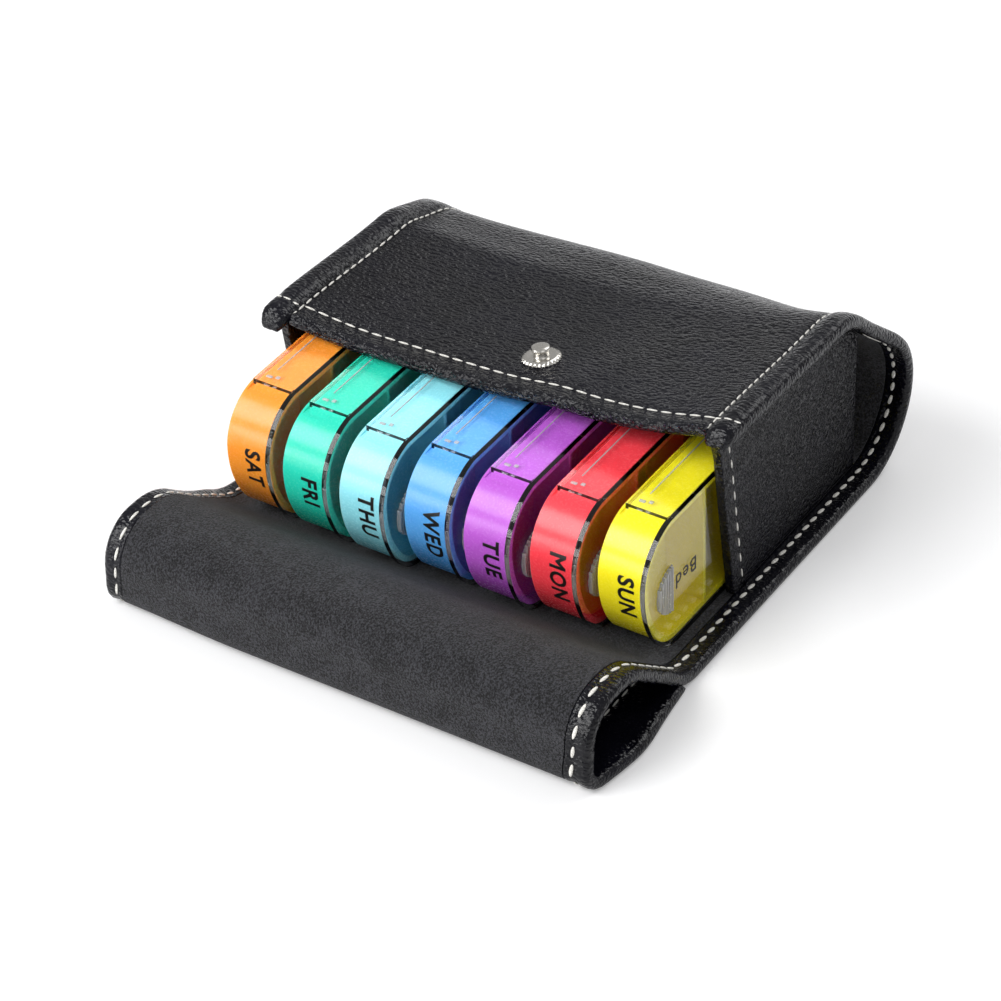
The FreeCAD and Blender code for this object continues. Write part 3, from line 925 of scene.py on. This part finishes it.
sideways = Matrix.Rotation(math.pi / 2.0, 4, "Z")
faceOut, faceIn = seam["dip"] - stitch["sunk"], thick - seam["dip"] + stitch["sunkInside"]
for side, word, day in ((-1, "Left", "sat"), (1, "Right", "sun")):
    for face, x, t, pitch, share in (
            ("Outer", side * panelHalf, faceOut, stitch["topPitch"], stitch["topShare"]),
            ("Inner", side * case["seamIn"], faceIn, stitch["innerPitch"], stitch["innerShare"])):
        stitchRow("stitch" + face + word, "case", runPlaces(x, stitch["firstRun"], bottomEnd, t, pitch, share))
        ramp = stitchRow("stitchRamp" + face + word, "case", runPlaces(x, bottomEnd, rampEnd, t, pitch, share))
        flatten(ramp)
        pitch, share = pitch + stitch["rollExtra"], share * stitch["rollShare"]
        places = runPlaces(x, rampEnd, tailEnd - stitch["lastRun"], t, pitch, share)
        flatten(stitchRow("stitchRoll" + face + word, "flap", places))
count = int(2.0 * panelHalf / stitch["hemPitch"])
gap = 2.0 * panelHalf / count
for face, t in (("Outer", faceOut), ("Inner", faceIn)):
    places = [((-panelHalf + gap * (k + 0.5), hemRun, t), sideways, stitch["hemShare"]) for k in range(count)]
    stitchRow("stitchMouth" + face, "case", places)
places = []
firstX, stepX, count = stitch["crossAt"]
for side in (-1, 1):  # the hem's row runs on over the padded edges
    for k in range(count):
        x = side * (panelHalf + firstX + stepX * k)
        point = (x, hemRun - stitch["crossBack"], stitch["crossSunk"] - puffAt(x, hemRun))
        places.append((point, sideways, stitch["crossShare"]))
stitchRow("stitchCross", "case", places)

upright = Matrix.Rotation(math.radians(90.0 + stitch["gussetLean"]), 4, "X")
for side, word in ((-1, "Left"), (1, "Right")):
    x = gusset["inner"] + gusset["thick"] + stitch["gussetOff"]
    low = stitch["gussetLow"]
    high = liningAbove(side * x, gussetFront(stitch["gussetTop"]) + gusset["hem"]) - stitch["gussetHigh"]
    count = int((high - low) / stitch["gussetPitch"])
    onSide = upright @ Matrix.Rotation(math.pi / 2.0, 4, "Y")
    places = []
    for k in range(count):
        z = low + (high - low) * (k + 0.5) / count
        point = (side * x, gussetFront(z) + gusset["hem"] - gusset["seamBack"], z)
        places.append((point, onSide, stitch["gussetShare"]))
    stitchRow("stitchGusset" + word, "case", places, wrap=False)
print("stitches made")

# pill boxes: moulded trays and sliding clear covers

box = {
    "noseAt": {    # y of each box's nose
        "sat": -43.1, "fri": -44.2, "thu": -45.4, "wed": -43.3, "tue": -44.2, "mon": -42.3, "sun": -40.1},
    "thick": 17.3, "height": 39.1, "bottom": 3.7, "inset": 1.1, "length": 106.0,
    "trayBevel": 0.5, "coverBevel": 0.3, "bevelSteps": 3, "bevelFrom": 40.0,    # mm, and degrees
    "noseTop": 15.0, "noseFlat": 32.3, "noseMid": 24.1,       # radii of the nose's two arcs and where they meet
    "flangeFront": 13.0, "flangeReach": 16.0,
}
rowHalf = 3.0 * case["rowPitch"] + box["thick"] / 2.0
# the moulded box is slimmer than its solid: x stations of the solid and where the finished piece has them
trayStations = [(0.0, 3.35), (1.6, 4.95)]
slots = {s["node"]: s["material_slot"] for s in frame["record"]["subparts"]}


def dressCopy(node, name, bevel, mat, left=0.0, nose=0.0, stations=(), flangeFront=None):
    near = 0.04    # mm
    obj = addObject(name, frame["nodes"][node].data.copy())
    turnOutwards(obj, closeEdge)
    for v in obj.data.vertices:
        for was, now in stations:
            if abs(v.co.x / mm - left - was) < near:
                v.co.x = (left + now) * mm
                break
        onFront = abs(v.co.y / mm - nose - box["noseTop"]) < near
        if flangeFront and onFront and v.co.x / mm - left < box["flangeReach"]:
            v.co.y = (nose + flangeFront) * mm
    bpy.ops.object.mode_set(mode="EDIT")
    bpy.ops.mesh.select_all(action="SELECT")
    bpy.ops.mesh.dissolve_limited(angle_limit=math.radians(1.0))
    bpy.ops.object.mode_set(mode="OBJECT")
    edge = obj.modifiers.new("edge", "BEVEL")
    edge.width, edge.segments = bevel * mm, box["bevelSteps"]
    edge.limit_method, edge.angle_limit = "ANGLE", math.radians(box["bevelFrom"])
    applyModifiers(obj)
    smooth(obj, 40)
    flat = obj.modifiers.new("flat", "WEIGHTED_NORMAL")
    flat.keep_sharp, flat.weight = True, 100
    applyModifiers(obj)
    coat(obj, mat)
    return obj


def noseY(z):  # the tray's nose at height z, from the box's own nose line
    b = box
    if z > b["noseMid"]:
        return b["noseTop"] - math.sqrt((b["noseTop"] - b["inset"]) ** 2 - (z - b["noseMid"]) ** 2)
    return b["noseFlat"] - math.sqrt((b["noseFlat"] - b["inset"]) ** 2 - (z - b["noseMid"]) ** 2)


label = {"tall": 4.7, "x": 8.9, "z": 20.6, "bold": 0.028, "film": 0.07, "sunk": 0.02}
timeWord = {"tall": 4.3, "y": 24.4, "z": 20.8, "bold": 0.006, "sunk": 0.01}
letterSpace = 1.15


def flatWord(name, word, tall, bold):  # a word as a thin flat mesh, its corner at the origin
    deselectAll()
    bpy.ops.object.text_add()
    obj = bpy.context.object
    obj.name = name
    data = obj.data
    data.body, data.space_character, data.resolution_u = word, letterSpace, 4
    data.extrude, data.bevel_depth, data.bevel_resolution = 0.02, bold, 0    # the bevel makes the strokes bolder
    bpy.ops.object.convert(target="MESH")
    mesh = obj.data
    xs, ys = [v.co.x for v in mesh.vertices], [v.co.y for v in mesh.vertices]
    x0, y0, k = min(xs), min(ys), tall / (max(ys) - min(ys))
    for v in mesh.vertices:
        v.co = ((v.co.x - x0) * k, (v.co.y - y0) * k, 1.0 if v.co.z > 0 else 0.0)
    return obj


def dayLabel(day, left, nose):
    obj = flatWord("label" + day.title(), day.upper(), label["tall"], label["bold"])
    pick(obj)
    bpy.ops.object.mode_set(mode="EDIT")
    bpy.ops.mesh.select_all(action="SELECT")
    bpy.ops.mesh.subdivide(number_cuts=1)
    bpy.ops.object.mode_set(mode="OBJECT")
    top = label["z"] + max(v.co.x for v in obj.data.vertices) / 2.0
    for v in obj.data.vertices:  # reads downwards round the nose, letter tops to the right
        z = top - v.co.x
        y = noseY(z) - label["film"] * v.co.z + label["sunk"]
        v.co = ((left + label["x"] + v.co.y) * mm, (nose + y) * mm, (box["bottom"] + z) * mm)
    turnOutwards(obj, closeSeam)
    coat(obj, inkMat)
    finish(obj, "box_" + day, slots["tray_" + day])


def bedLabel(day, left, nose):
    obj = flatWord("labelBed" + day.title(), "Bed", timeWord["tall"], timeWord["bold"])
    for v in obj.data.vertices:  # upside down on the clear face, reading towards the nose
        x = left + box["thick"] + label["film"] * v.co.z - timeWord["sunk"]
        v.co = (x * mm, (nose + timeWord["y"] - v.co.x) * mm, (box["bottom"] + timeWord["z"] - v.co.y) * mm)
    turnOutwards(obj, closeSeam)
    coat(obj, inkMat)
    finish(obj, "lid_" + day, "clear_plastic")


detail = {
    "gripY": 12.6, "gripZ": 18.5, "gripRadius": 7.1, "gripEdge": 0.35, "gripLeast": 0.4,
    "ribs": 6, "ribFirst": 0.4, "ribPitch": 1.15, "ribWide": 0.5, "ribProud": 0.8,
    "ridgeX": 7.6, "ridgeBack": 1.0, "ridge": (0.35, 36.0, 0.3),    # width, shorter than the box by, height
    "detents": [((7.4, 15.6), (1.7, 0.9, 0.4)), ((9.6, 16.2), (1.1, 1.1, 0.35))],
    "raise": 0.02, "soft": 0.14, "softSteps": 2,
}


def coverDetail(day, left, nose):  # thumb ribs, the flange's guide ridge and its two detents
    d, pieces = detail, []
    for k in range(d["ribs"]):
        back = d["ribFirst"] + d["ribPitch"] * k
        half = math.sqrt(max(d["gripLeast"], d["gripRadius"] ** 2 - back ** 2)) - d["gripEdge"]
        place = (left + box["thick"], nose + d["gripY"] - back, box["bottom"] + d["gripZ"])
        pieces.append((place, (2.0 * d["ribProud"], d["ribWide"], 2.0 * half)))
    # the guide ridge and the detents, whose milky white is painted highlight
    top = box["bottom"] + box["height"] + d["raise"]
    wide, shorter, high = d["ridge"]
    ridgeY = nose + box["length"] / 2.0 + d["ridgeBack"]
    pieces.append(((left + d["ridgeX"], ridgeY, top), (wide, box["length"] - shorter, high)))
    for (x, y), size in d["detents"]:
        pieces.append(((left + x, nose + y, top), size))
    parts = []
    for place, size in pieces:
        deselectAll()
        bpy.ops.mesh.primitive_cube_add(size=1.0, location=[c * mm for c in place])
        cube = bpy.context.object
        cube.scale = [c * mm for c in size]
        applyPlace(cube)
        soft = cube.modifiers.new("soft", "BEVEL")
        soft.width, soft.segments = d["soft"] * mm, d["softSteps"]
        applyModifiers(cube)
        parts.append(cube)
    deselectAll()
    for part in parts:
        part.select_set(True)
    bpy.context.view_layer.objects.active = parts[0]
    bpy.ops.object.join()
    obj = bpy.context.object
    obj.name = "coverRibs" + day.title()
    smooth(obj, 40)
    # milky plastic: the ribs' frosting, and painted highlight on the ridge and detents
    coat(obj, frostAndHighlightMat)
    finish(obj, "lid_" + day, "clear_plastic")


for i, day in enumerate(days):
    left, nose = -rowHalf + i * case["rowPitch"], box["noseAt"][day]
    tray = dressCopy(
        "tray_" + day, "tray" + day.title(), box["trayBevel"], plasticMats[day], left, nose, trayStations)
    finish(tray, "box_" + day, slots["tray_" + day], "tray_" + day)
    cover = dressCopy(
        "cover_" + day, "cover" + day.title(), box["coverBevel"], clearMat, left, nose, (), box["flangeFront"])
    finish(cover, "lid_" + day, "clear_plastic", "cover_" + day)
    dayLabel(day, left, nose)
    bedLabel(day, left, nose)
    coverDetail(day, left, nose)
print("boxes made")

# snap fastener

stud = {
    "x": 4.5, "y": 7.2, "base": 5.2, "teeth": 30, "tooth": 0.35, "pressBevel": 0.15,
    "toothed": 4,    # rings of the base that have teeth
    "rings": [       # radius less the base's, height
        (-0.2, -0.1), (0.0, 0.15), (-0.25, 0.6), (-0.9, 0.95), (-1.7, 1.0), (-2.3, 0.7)],
    "post": [        # radius, height
        (2.2, 0.75), (1.95, 1.2), (1.95, 2.1), (2.4, 2.5), (2.5, 2.9), (2.3, 3.3), (1.7, 3.55), (0.8, 3.6)],
}


def makeStud():  # the stud's outline spun round, stood on the leather's own slope
    s = stud
    run = runAtY(s["y"], 0, 1)
    here, right = Vector(wrapPoint(s["x"], run, 0.0)), Vector(wrapPoint(s["x"] + 1.0, run, 0.0))
    ahead = Vector(wrapPoint(s["x"], run + 1.0, 0.0))
    across = (right - here).normalized()
    up = across.cross((ahead - here).normalized()).normalized()
    along = up.cross(across)
    place = Matrix((across, along, up)).transposed().to_4x4()
    place.translation = here
    steps, rings = s["teeth"] * 2, []
    for i, (radius, z) in enumerate([(s["base"] + r, z) for r, z in s["rings"]] + s["post"]):
        ring = []
        for k in range(steps):
            a = 2.0 * math.pi * k / steps
            r = radius - (s["tooth"] if i < s["toothed"] and k % 2 else 0.0)
            ring.append(place @ Vector((r * math.cos(a) * mm, r * math.sin(a) * mm, z * mm)))
        rings.append(ring)
    obj = closedSkin("snapStud", rings)
    turnOutwards(obj)
    smooth(obj, 40)
    coat(obj, nickelMat)
    finish(obj, "case", slots["snap_stud"], "snap_stud")


makeStud()
for node, name in (("snap_socket", "snapSocket"), ("snap_cap", "snapCap")):
    piece = dressCopy(node, name, stud["pressBevel"], nickelMat)
    finish(piece, "flap", slots[node], node)
    flatten(piece)
coat(frame["nodes"]["stud_eyelet"], nickelMat)
print("snap fastener made")

# floor, light and camera

stageLook = {
    "floor": "#efeff0", "floorGlow": 0.16, "floorSize": 8.0, "floorGrain": 25.0, "world": 0.46,    # m, mm
    "lights": [    # name, power, size, place, height aimed at
        ("keySoftbox", 9.0, (0.75, 0.6), (-0.44, -0.60, 0.78), 0.02),
        ("fillSoftbox", 1.5, (0.9, 0.9), (1.1, -0.7, 0.9), 0.02),
        ("lowSoftbox", 3.5, (0.7, 0.3), (-0.6, -1.0, 0.2), 0.03),
        ("rearSoftbox", 8.0, (1.2, 0.7), (0.25, 1.0, 1.0), 0.03),
    ],
}


def makeFloor():
    deselectAll()
    bpy.ops.mesh.primitive_plane_add(size=stageLook["floorSize"], location=(0, 0, 0))
    obj = bpy.context.object
    obj.name = "floor"
    mat, tree, out, place = newMaterial("PaperSweep")
    # background paper: matt, pale; its glow whitens it for the camera and lights nothing
    grain = addNode(
        tree, "TexNoise", {"Scale": 1.0 / (stageLook["floorGrain"] * mm), "Detail": 2.0}, {"Vector": place})
    gloss = addNode(tree, "MapRange", {"To Min": 0.55, "To Max": 0.65}, {"Value": grain.outputs["Fac"]})
    paper = addNode(
        tree, "BsdfPrincipled", {"Base Color": hexColour(stageLook["floor"]), "Specular IOR Level": 0.2},
        {"Roughness": gloss.outputs["Result"]})
    glow = addNode(tree, "Emission", {"Color": (1, 1, 1, 1), "Strength": stageLook["floorGlow"]})
    both = addNode(tree, "AddShader", {}, {0: paper.outputs["BSDF"], 1: glow.outputs["Emission"]})
    ray = addNode(tree, "LightPath")
    mix = addNode(
        tree, "MixShader", {}, {0: ray.outputs["Is Camera Ray"], 1: paper.outputs["BSDF"], 2: both.outputs["Shader"]})
    tree.links.new(mix.outputs["Shader"], out.inputs["Surface"])
    obj.data.materials.append(mat)
    obj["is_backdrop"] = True


def areaLight(name, power, size, place, aimZ):
    data = bpy.data.lights.new(name, "AREA")
    data.shape, data.size, data.size_y, data.energy = "RECTANGLE", size[0], size[1], power
    obj = addObject(name, data)
    obj.location = place
    obj.rotation_euler = (Vector((0, 0, aimZ)) - Vector(place)).to_track_quat("-Z", "Y").to_euler()


makeFloor()
for light in stageLook["lights"]:
    areaLight(*light)
world = bpy.data.worlds.new("studio")
world.use_nodes = True
world.node_tree.nodes["Background"].inputs["Color"].default_value = (1, 1, 1, 1)
world.node_tree.nodes["Background"].inputs["Strength"].default_value = stageLook["world"]
bpy.context.scene.world = world


view = {
    "place": (449.96, -684.25, 627.10),    # mm
    "azimuth": 33.60, "elevation": 37.14, "roll": -1.92,
    "lensWidths": 3999.0 / 1001.0,         # focal length in widths of the frame
    "sensor": 36.0, "clip": (0.05, 20.0),
}


def makeCamera():
    place = Vector(view["place"]) * mm
    az, el, tilt = math.radians(view["azimuth"]), math.radians(view["elevation"]), math.radians(view["roll"])
    back = Vector((math.sin(az) * math.cos(el), -math.cos(az) * math.cos(el), math.sin(el)))
    right = Vector((math.cos(az), math.sin(az), 0.0))
    up = right.cross(-back)
    across = math.cos(tilt) * right + math.sin(tilt) * up
    above = -math.sin(tilt) * right + math.cos(tilt) * up
    data = bpy.data.cameras.new("camera")
    data.sensor_fit, data.sensor_width = "HORIZONTAL", view["sensor"]
    data.lens = view["lensWidths"] * view["sensor"]
    data.clip_start, data.clip_end = view["clip"]
    obj = addObject("camera", data)
    obj.matrix_world = Matrix.Translation(place) @ Matrix((across, above, back)).transposed().to_4x4()
    bpy.context.scene.camera = obj


makeCamera()
bpy.context.scene.view_settings.view_transform = "Standard"
print("floor, lights and camera made")

low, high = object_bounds()
